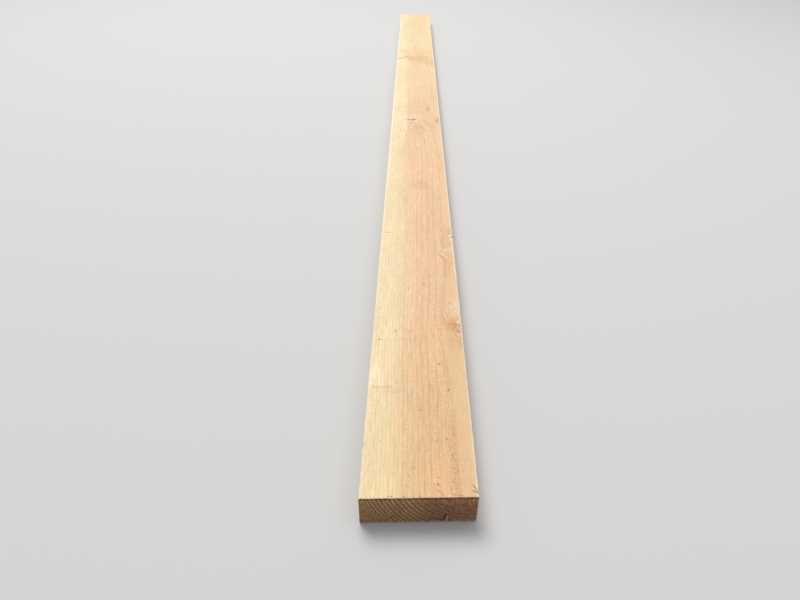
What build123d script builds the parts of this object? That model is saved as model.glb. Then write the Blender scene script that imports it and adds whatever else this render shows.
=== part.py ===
from build123d import *
import os

# A sawn softwood plank, as it comes from the stack: one piece of stock, lying flat.
# X runs across its width, Y along its length and Z up through its thickness.
# The origin is the middle of the underside, and the near end faces -Y.

# The blank, in millimetres
length = 3000           # over the longer corners of its two crosscut ends
width = 150             # across the broad faces
thickness = 50          # through the edges
arris_radius = 1.2      # the long corners, rubbed down a little by handling
crosscut_arris = 0.6    # the broken corner round each crosscut end

# The crosscuts, a little out of square
near_end_skew = 6       # the near end's right corner stands back this far from its left one
far_end_skew = 2        # the far end's left corner stands back this far from its right one
end_waste = 40          # length left past each crosscut before it is sawn

# The drying check that opens in the near end, from the underside
check_offset = 35       # its mouth, to the right of the centre line
check_mouth = 4         # its width on the underside
check_height = 17       # how high it runs up the end
check_lean = 4          # how far its tip leans to the right
check_depth = 70        # how far it runs in along the grain
check_tail = 0.15       # its size at that depth, as a share of its mouth
check_overcut = 1       # how far the cut starts outside the wood

# The splinter torn out of the right upper corner, beside a knot
nick_distance = 645     # its middle, from the near end
nick_length = 9         # along the corner
nick_reach = 7          # across the broad face
nick_drop = 6           # down the edge
nick_slope = 24         # how far its walls lean in, in degrees

# Values worked out from the driving dimensions
half_length = length / 2
half_width = width / 2
near_corner = (-half_width, -half_length, 0)
far_corner = (half_width, half_length, 0)

# The nick is drawn on the top face, round its own place on the right corner
nick_seat = Plane((half_width, nick_distance - half_length, thickness))

# Each crosscut plane passes through the end's longer corner and faces away from the plank
near_cut = Plane(near_corner, x_dir=(width, near_end_skew, 0), z_dir=(near_end_skew, -width, 0))
far_cut = Plane(far_corner, x_dir=(-width, -far_end_skew, 0), z_dir=(-far_end_skew, width, 0))


def check_outline(share):
    """The check's narrow triangle, at a share of its mouth's size."""
    mouth = check_mouth * share / 2
    tip = check_height * share
    lean = check_lean * share
    with BuildLine() as outline:
        Polyline(
            (check_offset - mouth, -check_overcut),
            (check_offset + mouth, -check_overcut),
            (check_offset + lean, tip),
            close=True,
        )
    return outline.line


with BuildPart() as plank:
    # The sawn section, run out past both ends of the finished length
    with BuildSketch(Plane.XZ) as section:
        with Locations((0, thickness / 2)):
            Rectangle(width, thickness)
    extrude(amount=half_length + end_waste, both=True)

    # The two crosscuts take the waste off, and every corner is a little worn
    split(bisect_by=near_cut, keep=Keep.BOTTOM)
    split(bisect_by=far_cut, keep=Keep.BOTTOM)
    near_face = plank.faces().sort_by(Axis.Y)[0]
    far_face = plank.faces().sort_by(Axis.Y)[-1]
    chamfer(near_face.edges() + far_face.edges(), crosscut_arris)
    fillet(plank.edges().filter_by(Axis.Y), arris_radius)

    # The drying check narrows from the near end to its tail inside the plank
    with BuildSketch(Plane.XZ.offset(half_length + check_overcut)) as check_at_end:
        add(check_outline(1))
        make_face()
    with BuildSketch(Plane.XZ.offset(half_length - check_depth)) as check_inside:
        add(check_outline(check_tail))
        make_face()
    loft(ruled=True, mode=Mode.SUBTRACT)

    # The torn splinter leaves a small wedge-shaped gap in the right upper corner
    with BuildSketch(nick_seat) as nick:
        with BuildLine():
            Polyline(
                (nick_reach, -nick_length),
                (nick_reach, nick_length),
                (-nick_reach, 0),
                close=True,
            )
        make_face()
    extrude(amount=-nick_drop, taper=nick_slope, mode=Mode.SUBTRACT)

plank.part.label = "plank"

os.makedirs("parts", exist_ok=True)
export_step(plank.part, "parts/plank.step")

box = plank.part.bounding_box()
print(f"plank {box.size.X:.1f} x {box.size.Y:.1f} x {box.size.Z:.1f} mm")
print(f"volume {plank.part.volume / 1e6:.3f} litres, {len(plank.part.solids())} solid")
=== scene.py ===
# %% [markdown]
# A sawn softwood plank
#
# The object is one length of building timber, sawn straight from the log and never planed. There is no
# joinery in it, so its whole character is in the wood: growth rings that bend round the knots, pale
# sapwood beside salmon heartwood, the fuzz and torn specks that a coarse saw leaves, and a brown end.
#
# The packed CAD plank gives the frame. The lesson dresses it in three steps: set up the view, cut a fine
# net of faces with real sawn edges, and grow a wood through it that every face cuts in its own way.

# %% Load the frame
import math
import random

import bmesh
import bpy
from mathutils import Matrix, Vector, noise


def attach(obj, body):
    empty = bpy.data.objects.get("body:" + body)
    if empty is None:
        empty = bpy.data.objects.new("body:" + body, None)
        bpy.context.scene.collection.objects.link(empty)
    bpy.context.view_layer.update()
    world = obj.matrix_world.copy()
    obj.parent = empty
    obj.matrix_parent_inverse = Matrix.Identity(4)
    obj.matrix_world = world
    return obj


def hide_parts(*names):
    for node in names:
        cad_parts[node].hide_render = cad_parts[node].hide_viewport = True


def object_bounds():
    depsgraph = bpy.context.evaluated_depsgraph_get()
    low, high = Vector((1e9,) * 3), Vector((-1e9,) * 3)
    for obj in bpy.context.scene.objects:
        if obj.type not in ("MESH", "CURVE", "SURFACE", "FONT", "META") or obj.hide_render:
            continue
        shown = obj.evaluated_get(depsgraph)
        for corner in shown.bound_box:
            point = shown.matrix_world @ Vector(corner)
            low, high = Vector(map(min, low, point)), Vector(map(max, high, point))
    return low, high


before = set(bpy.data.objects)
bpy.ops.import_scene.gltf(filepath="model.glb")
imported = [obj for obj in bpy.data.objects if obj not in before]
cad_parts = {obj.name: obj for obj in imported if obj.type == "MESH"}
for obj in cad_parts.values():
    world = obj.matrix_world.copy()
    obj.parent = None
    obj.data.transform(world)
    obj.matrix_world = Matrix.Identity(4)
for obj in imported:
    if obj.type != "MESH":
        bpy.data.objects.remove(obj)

mm = 0.001
low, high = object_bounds()
width, length, thickness = high - low
print(f"plank {width:.3f} x {length:.3f} x {thickness:.3f} m")

# %% [markdown]
# The camera stands just beyond the near end, a little under the height of a table, and looks down along
# the plank. Its place and lens were worked out from the six corners of the plank that show, so the plank
# fills the picture the way it does in life. The turns are kept as angles, because a maker thinks of a
# view as so much to the side, so much down and a slight tilt of the horizon.

# %% Place the camera
near_skew = 6 * mm                      # the near end is cut this far out of square
near_middle = low.y + near_skew / 2     # where the near end crosses the centre line
eye_place = Vector((-17.5 * mm, near_middle - 447.7 * mm, 677.2 * mm))
eye_yaw = math.radians(-0.909)          # turned a little to the left
eye_pitch = math.radians(36.04)         # looking down
eye_roll = math.radians(0.318)          # the horizon's tilt
picture_width_px = 800
lens_reach_px = 593.4
sensor_width = 36                       # in millimetres, as Blender has it


def place_camera():
    """Makes the camera, with everything sharp and the picture's centre where the eye looks."""
    data = bpy.data.cameras.new("eye")
    data.sensor_fit = "HORIZONTAL"
    data.sensor_width = sensor_width
    data.lens = sensor_width * lens_reach_px / picture_width_px
    data.clip_start, data.clip_end = 0.01, 50
    camera = bpy.data.objects.new("eye", data)
    turn = Matrix.Rotation(-eye_yaw, 4, "Z")
    turn = turn @ Matrix.Rotation(math.radians(90) - eye_pitch, 4, "X")
    turn = turn @ Matrix.Rotation(eye_roll, 4, "Z")
    camera.matrix_world = Matrix.Translation(eye_place) @ turn
    bpy.context.collection.objects.link(camera)
    bpy.context.scene.camera = camera
    print(f"lens {data.lens:.2f} mm")


place_camera()

# %% [markdown]
# The light is soft daylight from above and from beyond the far end. That leaves the near end in its own
# shade, which is why it looks so much darker than the top. A big area lamp makes soft shadows, and a weak
# one from the right and a grey world fill them. Colours are kept as they are mixed, with the plain
# Standard view.

# %% Light and floor
floor_size = 60.0
floor_drop = 0.4 * mm        # keeps the floor just clear of the underside
sky_strength = 0.425
key_power, fill_power = 575, 54


def hang_lamp(name, place, target, size, power, colour):
    """Hangs a square soft lamp at a place and turns its face to a target."""
    data = bpy.data.lights.new(name, "AREA")
    data.shape, data.size = "SQUARE", size
    data.energy, data.color = power, colour
    lamp = bpy.data.objects.new(name, data)
    facing = Vector(target) - Vector(place)
    lamp.matrix_world = Matrix.Translation(place) @ facing.to_track_quat("-Z", "Y").to_matrix().to_4x4()
    bpy.context.collection.objects.link(lamp)


def lay_floor():
    """A plain pale floor just under the plank."""
    bm = bmesh.new()
    bmesh.ops.create_grid(bm, x_segments=1, y_segments=1, size=floor_size / 2)
    bmesh.ops.translate(bm, vec=(0, 0, -floor_drop), verts=bm.verts)
    mesh = bpy.data.meshes.new("floor")
    bm.to_mesh(mesh)
    bm.free()
    floor = bpy.data.objects.new("floor", mesh)
    bpy.context.collection.objects.link(floor)
    paint = bpy.data.materials.new("pale_floor")
    paint.use_nodes = True
    shader = paint.node_tree.nodes["Principled BSDF"]
    shader.inputs["Base Color"].default_value = (0.52, 0.52, 0.52, 1)
    shader.inputs["Roughness"].default_value = 1.0
    shader.inputs["Specular IOR Level"].default_value = 0.1
    mesh.materials.append(paint)


def light_the_room():
    """The grey world and the lamps."""
    world = bpy.data.worlds.new("studio")
    world.use_nodes = True
    world.node_tree.nodes["Background"].inputs["Color"].default_value = (0.93, 0.96, 1.0, 1)
    world.node_tree.nodes["Background"].inputs["Strength"].default_value = sky_strength
    bpy.context.scene.world = world
    hang_lamp("key", (-1.6, 2.4, 7.0), (0, 0.2, 0), 4.0, key_power, (1.0, 0.985, 0.96))
    hang_lamp("fill", (1.6, -1.0, 4.4), (0, -0.6, 0), 3.0, fill_power, (1.0, 0.99, 0.98))
    bpy.context.scene.view_settings.view_transform = "Standard"


lay_floor()
light_the_room()
print("lamps:", key_power, "W above the far end and", fill_power, "W from the right")

# %% [markdown]
# The plank's body starts as a plain box. It is cut along each of its three directions in turn, which
# leaves a regular net of faces. The rows then move closer together towards the end that faces the eye,
# and lean as the two crosscuts do. The edges are bevelled last, because the cuts are simplest on a box
# whose edges run in just three directions.

# %% Cut the blank into a net
columns = 48                 # faces across the width
layers = 15                  # faces through the thickness
rows = 640                   # faces along the length
near_rows_share = 0.62       # how close the rows stand at the near end, next to even rows
arris = 1.2 * mm             # the long corners' wear
far_skew = 2 * mm


def edges_along(bm, axis):
    """The edges that run along one axis of the box."""
    picked = []
    for edge in bm.edges:
        run = edge.verts[1].co - edge.verts[0].co
        if abs(run[axis]) > 0.99 * run.length:
            picked.append(edge)
    return picked


def cut_blank():
    """A box of the plank's size, cut into the net of faces."""
    bm = bmesh.new()
    bmesh.ops.create_cube(bm, size=1)
    bmesh.ops.scale(bm, vec=(width, length, thickness), verts=bm.verts)
    bmesh.ops.translate(bm, vec=(0, 0, thickness / 2), verts=bm.verts)
    for axis, cuts in ((0, columns - 1), (2, layers - 1), (1, rows - 1)):
        bmesh.ops.subdivide_edges(bm, edges=edges_along(bm, axis), cuts=cuts)
    return bm


def crowd_rows(bm):
    """Moves the rows towards the near end, and slants both ends as their crosscuts are."""
    for vert in bm.verts:
        along = (vert.co.y - low.y) / length
        across = vert.co.x / width + 0.5
        slant = near_skew * across * (1 - along) - far_skew * (1 - across) * along
        along *= near_rows_share + (1 - near_rows_share) * along
        vert.co.y = low.y + along * length + slant


def wear_corners(bm):
    """Bevels the twelve edges of the box."""
    corners = [edge for edge in bm.edges if edge.calc_face_angle(0) > 1]
    bmesh.ops.bevel(
        bm, geom=corners, offset=arris, offset_type="OFFSET", segments=2, profile=0.5,
        affect="EDGES", material=-1, clamp_overlap=True,
    )


body = cut_blank()
crowd_rows(body)
wear_corners(body)
print("net:", len(body.faces), "faces")

# %% [markdown]
# A frame saw leaves no true plane. Each face drifts by a fraction of a millimetre, and the corners fray
# where fibres tear away. The net is dense enough to carry this in its own shape, so it is there in any
# light. Everything finer is left to the finish.

# %% Roughen the sawn faces
drift_depth = 0.22 * mm
fuzz_depth = 0.10 * mm
fray_depth = 0.75 * mm
fray_width = 3.0 * mm


def drift(place):
    """The saw's slow wander, as a depth."""
    return drift_depth * (noise.noise(Vector((place.x * 14, place.y * 3.1, place.z * 14))) - 0.5)


def fuzz(place):
    """The short fuzz between fibres, long along the grain."""
    return fuzz_depth * (noise.noise(Vector((place.x * 330, place.y * 90, place.z * 330))) - 0.3)


def fray(place):
    """Torn fibres at the long corners, as a depth that fades away from the corner."""
    from_side = width / 2 - abs(place.x)
    from_face = min(place.z, thickness - place.z)
    reach = max(0.0, 1 - (from_side + from_face) / fray_width)
    # each of the four corners reads a stretch of noise of its own
    side = 40 if place.x > 0 else 80
    side += 7 if place.z > thickness / 2 else 0
    fine = noise.noise(Vector((place.y * 120, side, 0)))
    coarse = noise.noise(Vector((place.y * 37, side, 5)))
    return -fray_depth * reach * max(0.0, fine + 0.6 * coarse + 0.15)


def roughen(bm):
    """Moves each vertex in or out by the three kinds of relief, and the underside only inwards."""
    bm.normal_update()
    for vert in bm.verts:
        depth = drift(vert.co) + fuzz(vert.co) + fray(vert.co)
        if vert.normal.z < -0.5:
            depth = min(depth, 0.0)
        vert.co += vert.normal * depth


roughen(body)
print("roughened", len(body.verts), "points")

# %% [markdown]
# Two places have wood missing: the drying check in the near end, and the gap on the right upper corner
# where a splinter has torn out beside a knot. Each is a hollow with flat or torn walls, so each gets a
# solid of its own shape to be cut out with. Both are tapering wedges. The nick's is broken up, because torn
# fibres leave no smooth wall.

# %% Shape the two hollows
check_offset = 35 * mm
check_mouth = 4 * mm
check_height = 17 * mm
check_lean = 4 * mm
check_depth = 70 * mm
check_tail = 0.15
overcut = 1 * mm
nick_distance = 645 * mm
nick_length = 9 * mm
nick_reach = 7 * mm
nick_drop = 6 * mm
nick_narrowing = 0.45


def wedge(points, run, narrowing, centre):
    """A tapering wedge: a flat outline, extruded along a run and narrowed about a centre."""
    bm = bmesh.new()
    face = bm.faces.new([bm.verts.new(point) for point in points])
    grown = bmesh.ops.extrude_face_region(bm, geom=[face])
    tip = [item for item in grown["geom"] if isinstance(item, bmesh.types.BMVert)]
    bmesh.ops.scale(bm, vec=(narrowing,) * 3, space=Matrix.Translation(-Vector(centre)), verts=tip)
    bmesh.ops.translate(bm, vec=run, verts=tip)
    bmesh.ops.recalc_face_normals(bm, faces=bm.faces)
    return bm


def check_wedge():
    """The check's wedge, from just outside the near end to its tail inside the plank."""
    front = low.y - overcut
    corners = (
        (check_offset - check_mouth / 2, front, -overcut),
        (check_offset + check_mouth / 2, front, -overcut),
        (check_offset + check_lean, front, check_height),
    )
    run = (0, check_depth + overcut, 0)
    return wedge(corners, run, check_tail, (check_offset, front, 0))


def nick_wedge():
    """The nick's wedge, broken up so that its walls look torn."""
    side, place = width / 2, low.y + nick_distance
    corners = (
        (side + nick_reach, place - nick_length, thickness + overcut),
        (side + nick_reach, place + nick_length, thickness + overcut),
        (side - nick_reach, place, thickness + overcut),
    )
    bm = wedge(corners, (0, 0, -nick_drop - overcut), nick_narrowing, (side, place, thickness))
    bmesh.ops.triangulate(bm, faces=bm.faces)
    bmesh.ops.subdivide_edges(bm, edges=bm.edges, cuts=5, use_grid_fill=True, fractal=0.25, seed=4)
    return bm


print(f"the check runs {check_depth:.3f} m in, the nick is {2 * nick_length:.3f} m long")

# %% [markdown]
# A boolean then takes each wedge out of the body. Moving the net's own points would do for a dent, but
# the check runs inside the wood behind a narrow mouth, and there only a cut gives it walls.

# %% Cut the check and the torn nick
def as_object(bm, name):
    """Turns a bmesh into an object at the origin."""
    mesh = bpy.data.meshes.new(name)
    bm.to_mesh(mesh)
    bm.free()
    made = bpy.data.objects.new(name, mesh)
    bpy.context.collection.objects.link(made)
    return made


def carve(piece, cutter):
    """Cuts one object's shape out of another and takes the cutter away."""
    cut = piece.modifiers.new("carve", "BOOLEAN")
    cut.operation, cut.solver, cut.object = "DIFFERENCE", "EXACT", cutter
    graph = bpy.context.evaluated_depsgraph_get()
    carved = bpy.data.meshes.new_from_object(piece.evaluated_get(graph))
    piece.modifiers.clear()
    piece.data = carved
    bpy.data.objects.remove(cutter)


plank = as_object(body, "sawn_plank")
carve(plank, as_object(check_wedge(), "check_cutter"))
carve(plank, as_object(nick_wedge(), "nick_cutter"))
plank.data.name = "sawn_plank"
print("carved:", len(plank.data.polygons), "faces")

# %% [markdown]
# Torn wood stays on at a few places: one long splinter still stands in the check, pale chips hang in the
# nick, and short slivers lie along the four long corners. They are thin wedges that join the same mesh,
# because on the real plank they are still part of it.

# %% Leave the torn slivers on
splinter_share = 0.85        # how much of the check's opening the standing splinter takes up
splinter_length = 0.6
splinter_setback = 0.6 * mm
splinter_offset = 0.1 * mm   # from the check's right corner, and from its tip
splinter_foot = 0.8 * mm     # from the underside
splinter_drop = 0.4 * mm     # from the check's height down to its tip
splinter_tip = (0.9 * mm, 1.6 * mm)    # how wide and how high the blunt tip is
chip_thickness = 1.1 * mm
chips = (
    # x, y and z of a chip's root, and its run, in millimetres
    ((69.5, 637.5, 48.6), (3.4, 8.5, 1.6)),
    ((68.0, 648.5, 49.2), (5.4, -4.0, 0.9)),
    ((71.5, 651.0, 49.0), (2.6, 6.0, 0.9)),
)


def sliver(root, run, thick):
    """A thin wedge of torn wood, thick at its root and pointed at its end."""
    root, run = Vector(root), Vector(run)
    across = run.cross(Vector((0, 0, 1))).normalized() * thick
    raised = run.cross(across).normalized() * thick * 0.6
    return wedge((root - across, root + across, root + raised), run, 0.12, root)


def standing_splinter():
    """The long splinter that still stands in the check, against its right wall."""
    front = low.y + near_skew * (check_offset / width + 0.5) + splinter_setback
    right = check_offset + check_mouth / 2 + splinter_offset
    tip_x, tip_z = check_offset + check_lean - splinter_offset, check_height - splinter_drop
    corners = (
        (right - check_mouth * splinter_share, front, splinter_foot),
        (right, front, splinter_foot),
        (tip_x, front, tip_z),
        (tip_x - splinter_tip[0], front, tip_z - splinter_tip[1]),
    )
    return wedge(corners, (0, splinter_length * check_depth, 0), 0.3, (right, front, 0))


print("one splinter and", len(chips), "chips are placed by hand")

# %% [markdown]
# The small slivers are too many to place by hand, and no one could tell where each one lies. A seeded
# random choice scatters them, so they are the same in every run.

# %% Scatter the small slivers
sliver_count = 150
near_fibres, far_fibres = 90, 50


def corner_sliver(chance):
    """A short sliver that lies along one of the long corners."""
    side = chance.choice((-1, 1))
    level = chance.choice((0.35 * mm, thickness - 0.25 * mm, thickness - 0.25 * mm))
    place = low.y + length * chance.uniform(0.005, 0.985)
    inset = width / 2 - chance.uniform(0.3, 0.7) * mm
    run = (side * chance.uniform(-0.3, 0.3) * mm, chance.uniform(6, 22) * mm, 0)
    return sliver((side * inset, place, level), run, chance.uniform(0.25, 0.5) * mm)


def end_fibre(chance, near):
    """A hair of wood that the crosscut left standing on the upper or lower edge of an end."""
    x = chance.uniform(-0.49, 0.49) * width
    if near:
        y, way = low.y + near_skew * (x / width + 0.5) + 0.7 * mm, -1
    else:
        y, way = high.y - far_skew * (0.5 - x / width) - 0.7 * mm, 1
    z = chance.choice((0.5 * mm, thickness - chance.uniform(0.3, 1.0) * mm))
    aside, out, up = chance.uniform(-0.5, 0.5), way * chance.uniform(0.9, 1.7), chance.uniform(-0.2, 0.2)
    return sliver((x, y, z), Vector((aside, out, up)) * mm, chance.uniform(0.12, 0.28) * mm)


def torn_pieces():
    """All the slivers in one bmesh."""
    chance = random.Random(7)
    gathered = bmesh.new()
    made = [standing_splinter()]
    for root, run in chips:
        shifted = Vector(root) * mm + Vector((0, low.y, 0))
        made.append(sliver(shifted, Vector(run) * mm, chip_thickness))
    made += [corner_sliver(chance) for _ in range(sliver_count)]
    made += [end_fibre(chance, True) for _ in range(near_fibres)]
    made += [end_fibre(chance, False) for _ in range(far_fibres)]
    for number, part in enumerate(made):
        raw = part.verts.layers.float.new("raw_splinter")
        for vert in part.verts:
            vert[raw] = 1.0 if number == 0 else 0.0
        kept = bpy.data.meshes.new("sliver")
        part.to_mesh(kept)
        part.free()
        gathered.from_mesh(kept)
        bpy.data.meshes.remove(kept)
    return gathered


def join_torn_pieces():
    """Adds the slivers to the plank's own mesh."""
    whole = torn_pieces()
    print("slivers:", len(whole.faces), "faces")
    whole.from_mesh(plank.data)
    whole.to_mesh(plank.data)
    whole.free()


join_torn_pieces()

# %% [markdown]
# A plank is an awkward shape for a picture texture: a flat layout by itself gives one long sliver and
# wastes the rest. So whoever bakes this finish finds the skin already laid out. It is cut in three along
# the length, each third is unrolled round its four sides like paper, and the ends go beside them, larger.

# %% Lay the skin out flat
thirds = 3
map_gap = 6 * mm             # left free between two neighbours on the map
end_zoom = 2.6
girth = 2 * (width + thickness)
third = length / thirds
map_side = thirds * (girth + map_gap) + map_gap
ends_start = third + 3 * map_gap
skin_depth = 2.5 * mm        # a face this near an outer plane belongs to the skin


def face_place(centre, normal):
    """Which side of the box a face belongs to, as its axis and its sign, and whether it is skin."""
    axis = max(range(3), key=lambda number: abs(normal[number]))
    sign = 1 if normal[axis] > 0 else -1
    planes = (width / 2, length / 2, thickness / 2)
    middle = (0, 0, thickness / 2)
    reach = skin_depth + (near_skew if axis == 1 else 0)
    depth = planes[axis] - (centre[axis] - middle[axis]) * sign
    return axis, sign, depth < reach


def on_long_side(point, axis, sign, strip):
    """A point on one of the four long sides, unrolled into its third's strip."""
    if axis == 2:
        around = point.x + width / 2 if sign > 0 else 1.5 * width + thickness - point.x
    else:
        around = width + thickness - point.z if sign > 0 else 2 * width + thickness + point.z
    return map_gap + strip * (girth + map_gap) + around, map_gap + point.y + length / 2 - strip * third


def on_end(point, sign):
    """A point on one of the two ends, drawn larger."""
    start = map_gap if sign < 0 else 2 * map_gap + width * end_zoom
    return start + (point.x + width / 2) * end_zoom, ends_start + point.z * end_zoom


print(f"map: {map_side:.2f} m wide, for a skin of {length:.2f} x {girth:.2f} m")

# %% [markdown]
# The walls of the check and of the nick face the same ways as the skin but lie below it, so they would
# land on top of it. Each direction inside each hollow gets a small cell of its own beside the ends.

# %% Lay the hollows beside it
hollows = (
    # the least and the greatest corner of the check, and of the nick
    (Vector((check_offset - 5 * mm, low.y, 0)),
     Vector((check_offset + 7 * mm, low.y + check_depth + 2 * mm, check_height + 3 * mm))),
    (Vector((width / 2 - 10 * mm, low.y + nick_distance - 15 * mm, thickness - 10 * mm)),
     Vector((width / 2 + 3 * mm, low.y + nick_distance + 15 * mm, thickness + 2 * mm))),
)
inside_zoom = 1.5
cell_width, cell_height, cells_across = 120 * mm, 33 * mm, 3


def find_hollow(centre):
    """The hollow that a face lies in, and its corner. A face of a loose sliver counts from itself."""
    for number, (least, greatest) in enumerate(hollows):
        if all(least[axis] <= centre[axis] <= greatest[axis] for axis in range(3)):
            return number, least
    return None, centre - Vector((2 * mm, 2 * mm, 2 * mm))


def on_inside(point, axis, corner, cell):
    """A point inside a hollow, in a cell of its own."""
    across, along, upright = point - corner
    flat = {0: (along, upright), 1: (across, upright), 2: (along, across)}[axis]
    start = 3 * map_gap + 2 * width * end_zoom + cell % cells_across * cell_width
    height = ends_start + cell // cells_across * cell_height
    return start + flat[0] * inside_zoom, height + flat[1] * inside_zoom


def lay_out_skin(mesh):
    """Gives every face its place. Returns the map's corners in one list, and how many cells were used."""
    raw = mesh.attributes["raw_splinter"].data
    cells, spots = {}, []
    for polygon in mesh.polygons:
        axis, sign, is_skin = face_place(polygon.center, polygon.normal)
        strip = min(thirds - 1, max(0, int((polygon.center.y + length / 2) / third)))
        hollow, corner = find_hollow(polygon.center)
        key = (hollow, axis, sign, raw[polygon.vertices[0]].value > 0.5)
        for number in polygon.vertices:
            point = mesh.vertices[number].co
            if is_skin and axis == 1:
                spots += on_end(point, sign)
            elif is_skin:
                spots += on_long_side(point, axis, sign, strip)
            else:
                spots += on_inside(point, axis, corner, cells.setdefault(key, len(cells)))
    return [spot / map_side for spot in spots], len(cells)


bake_map = plank.data.uv_layers.new(name="OFBake")
flat_spots, cell_count = lay_out_skin(plank.data)
bake_map.uv.foreach_set("vector", flat_spots)
print(f"map: {1024 * mm / map_side:.2f} pixels a millimetre on a 1024 image, {cell_count} cells inside")

# %% [markdown]
# Shading across the flat faces is smooth, with a hard line only where the surface turns sharply, as at
# the saw-cut ends and inside the nick. The finished piece then stands in for the CAD plank, on the same
# body and with the same kind of wood.

# %% Shade and seat the plank
sharp_turn = math.radians(50)
for polygon in plank.data.polygons:
    polygon.use_smooth = True
plank.data.set_sharp_from_angle(angle=sharp_turn)
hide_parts("plank")
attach(plank, "root")
print("seated", plank.name, "on the body root")

# %% [markdown]
# Wood is a solid pattern: a face only shows where the saw met it. So the finish is grown in space, on
# the plank's own coordinates, and every face agrees with its neighbours. A finish of this kind needs
# hundreds of small shader nodes, and wiring them one by one would hide the idea. So whatever comes out of
# a node is kept as a wire that can be added, multiplied and so on, and each such sum adds its own node.

# %% Wires that can be reckoned with
class Wire:
    """What comes out of a node. Arithmetic with it adds a math node to the tree."""

    def __init__(self, bench, socket):
        self.bench, self.socket = bench, socket

    def reckon(self, operation, *feeds):
        """One step of arithmetic: on plain numbers, or on vectors and colours."""
        step = self.bench.math if self.socket.type == "VALUE" else self.bench.vector
        return step(operation, *feeds)

    def __add__(self, other):
        return self.reckon("ADD", self, other)

    def __sub__(self, other):
        return self.reckon("SUBTRACT", self, other)

    def __rsub__(self, other):
        return self.reckon("SUBTRACT", other, self)

    def __mul__(self, other):
        return self.reckon("MULTIPLY", self, other)

    def __truediv__(self, other):
        return self.reckon("DIVIDE", self, other)

    def __rtruediv__(self, other):
        return self.reckon("DIVIDE", other, self)

    def __abs__(self):
        return self.reckon("ABSOLUTE", self)


# %% [markdown]
# The nodes themselves are laid out on a bench: a node tree with one short helper for each kind of node
# that the finish needs. A helper puts its node down, joins or sets its inputs, and hands back the wire.

# %% A bench for shader nodes
class Bench:
    """A node tree with one short method for each kind of step."""

    def __init__(self, tree):
        self.tree = tree

    def feed(self, socket, feed):
        """Joins a socket to a wire, or sets it to a number, a vector or a colour."""
        if isinstance(feed, Wire):
            self.tree.links.new(feed.socket, socket)
        elif feed is not None:
            socket.default_value = feed

    def put(self, kind, *feeds, **settings):
        """Adds a node, sets it up and feeds its inputs in order."""
        node = self.tree.nodes.new(kind)
        for name, value in settings.items():
            setattr(node, name, value)
        for socket, feed in zip(node.inputs, feeds):
            self.feed(socket, feed)
        return node

    def wires(self, node):
        """What comes out of a node, by the sockets' names."""
        return {socket.name: Wire(self, socket) for socket in node.outputs}

    def math(self, operation, *feeds):
        """One step with plain numbers."""
        return self.wires(self.put("ShaderNodeMath", *feeds, operation=operation))["Value"]

    def vector(self, operation, *feeds):
        """One vector step. Dot products, lengths and distances come out as a number."""
        wires = self.wires(self.put("ShaderNodeVectorMath", *feeds, operation=operation))
        return wires["Value" if operation in ("DOT_PRODUCT", "LENGTH", "DISTANCE") else "Vector"]

    def enlarge(self, vector, factor):
        """A vector times a number."""
        return self.vector("SCALE", vector, None, None, factor)

    def split(self, vector):
        """The x, y and z of a vector."""
        return list(self.wires(self.put("ShaderNodeSeparateXYZ", vector)).values())

    def join(self, x, y, z):
        """A vector from its x, y and z."""
        return self.wires(self.put("ShaderNodeCombineXYZ", x, y, z))["Vector"]

    def rise(self, value, start, end, low=0.0, high=1.0):
        """Climbs smoothly from low to high as a value goes from start to end."""
        feeds = (value, start, end, low, high)
        return self.wires(self.put("ShaderNodeMapRange", *feeds, interpolation_type="SMOOTHSTEP"))["Result"]

    def noise(self, vector, detail=2.0, roughness=0.5):
        """A noise from 0 to 1, with lumps about one unit of the vector wide."""
        return self.wires(self.put("ShaderNodeTexNoise", vector, None, 1.0, detail, roughness))["Fac"]

    def jitter(self, vector):
        """Three noises at once, each from -0.5 to 0.5, with lumps a fifth of a unit wide."""
        return self.wires(self.put("ShaderNodeTexNoise", vector))["Color"] - (0.5, 0.5, 0.5)

    def blend(self, factor, a, b, way="MIX"):
        """Mixes two colours."""
        node = self.put("ShaderNodeMix", data_type="RGBA", blend_type=way)
        for place, feed in ((0, factor), (6, a), (7, b)):
            self.feed(node.inputs[place], feed)
        return Wire(self, node.outputs[2])

    def use(self, group, *feeds):
        """Places a node group and returns what it gives, by name."""
        return self.wires(self.put("ShaderNodeGroup", *feeds, node_tree=group))


def start_group(name, vectors=(), numbers=(), gives=()):
    """Begins a node group with named inputs and outputs. Returns it, its bench and both its ends."""
    group = bpy.data.node_groups.new(name, "ShaderNodeTree")
    ends = [("INPUT", "Vector", vectors), ("INPUT", "Float", numbers), ("OUTPUT", "Float", gives)]
    for in_out, kind, names in ends:
        for socket in names:
            group.interface.new_socket(name=socket, in_out=in_out, socket_type="NodeSocket" + kind)
    bench = Bench(group)
    return group, bench, bench.wires(bench.put("NodeGroupInput")), bench.put("NodeGroupOutput").inputs


print("helpers on the bench:", ", ".join(name for name in vars(Bench) if not name.startswith("_")))

# %% [markdown]
# A branch starts at the pith and thickens with the trunk, so it has rings of its own. A place inside it
# belongs to the branch's rings, a place outside to the trunk's, and the two run into each other in a
# smooth bend, which makes the swirl round a knot. The trunk's rings also swell outwards near a branch,
# over a wider stretch. Both need the distance from the branch's axis, so they share a helper.

# %% Branches
pith_ring = -2.5               # the ring number at the pith, where every branch starts


def beside(bench, taken):
    """The shortest step from a branch's axis to a place."""
    from_root = taken["Place"] - taken["Root"]
    along = bench.vector("DOT_PRODUCT", from_root, taken["Way"])
    return from_root - bench.enlarge(taken["Way"], along)


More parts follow.
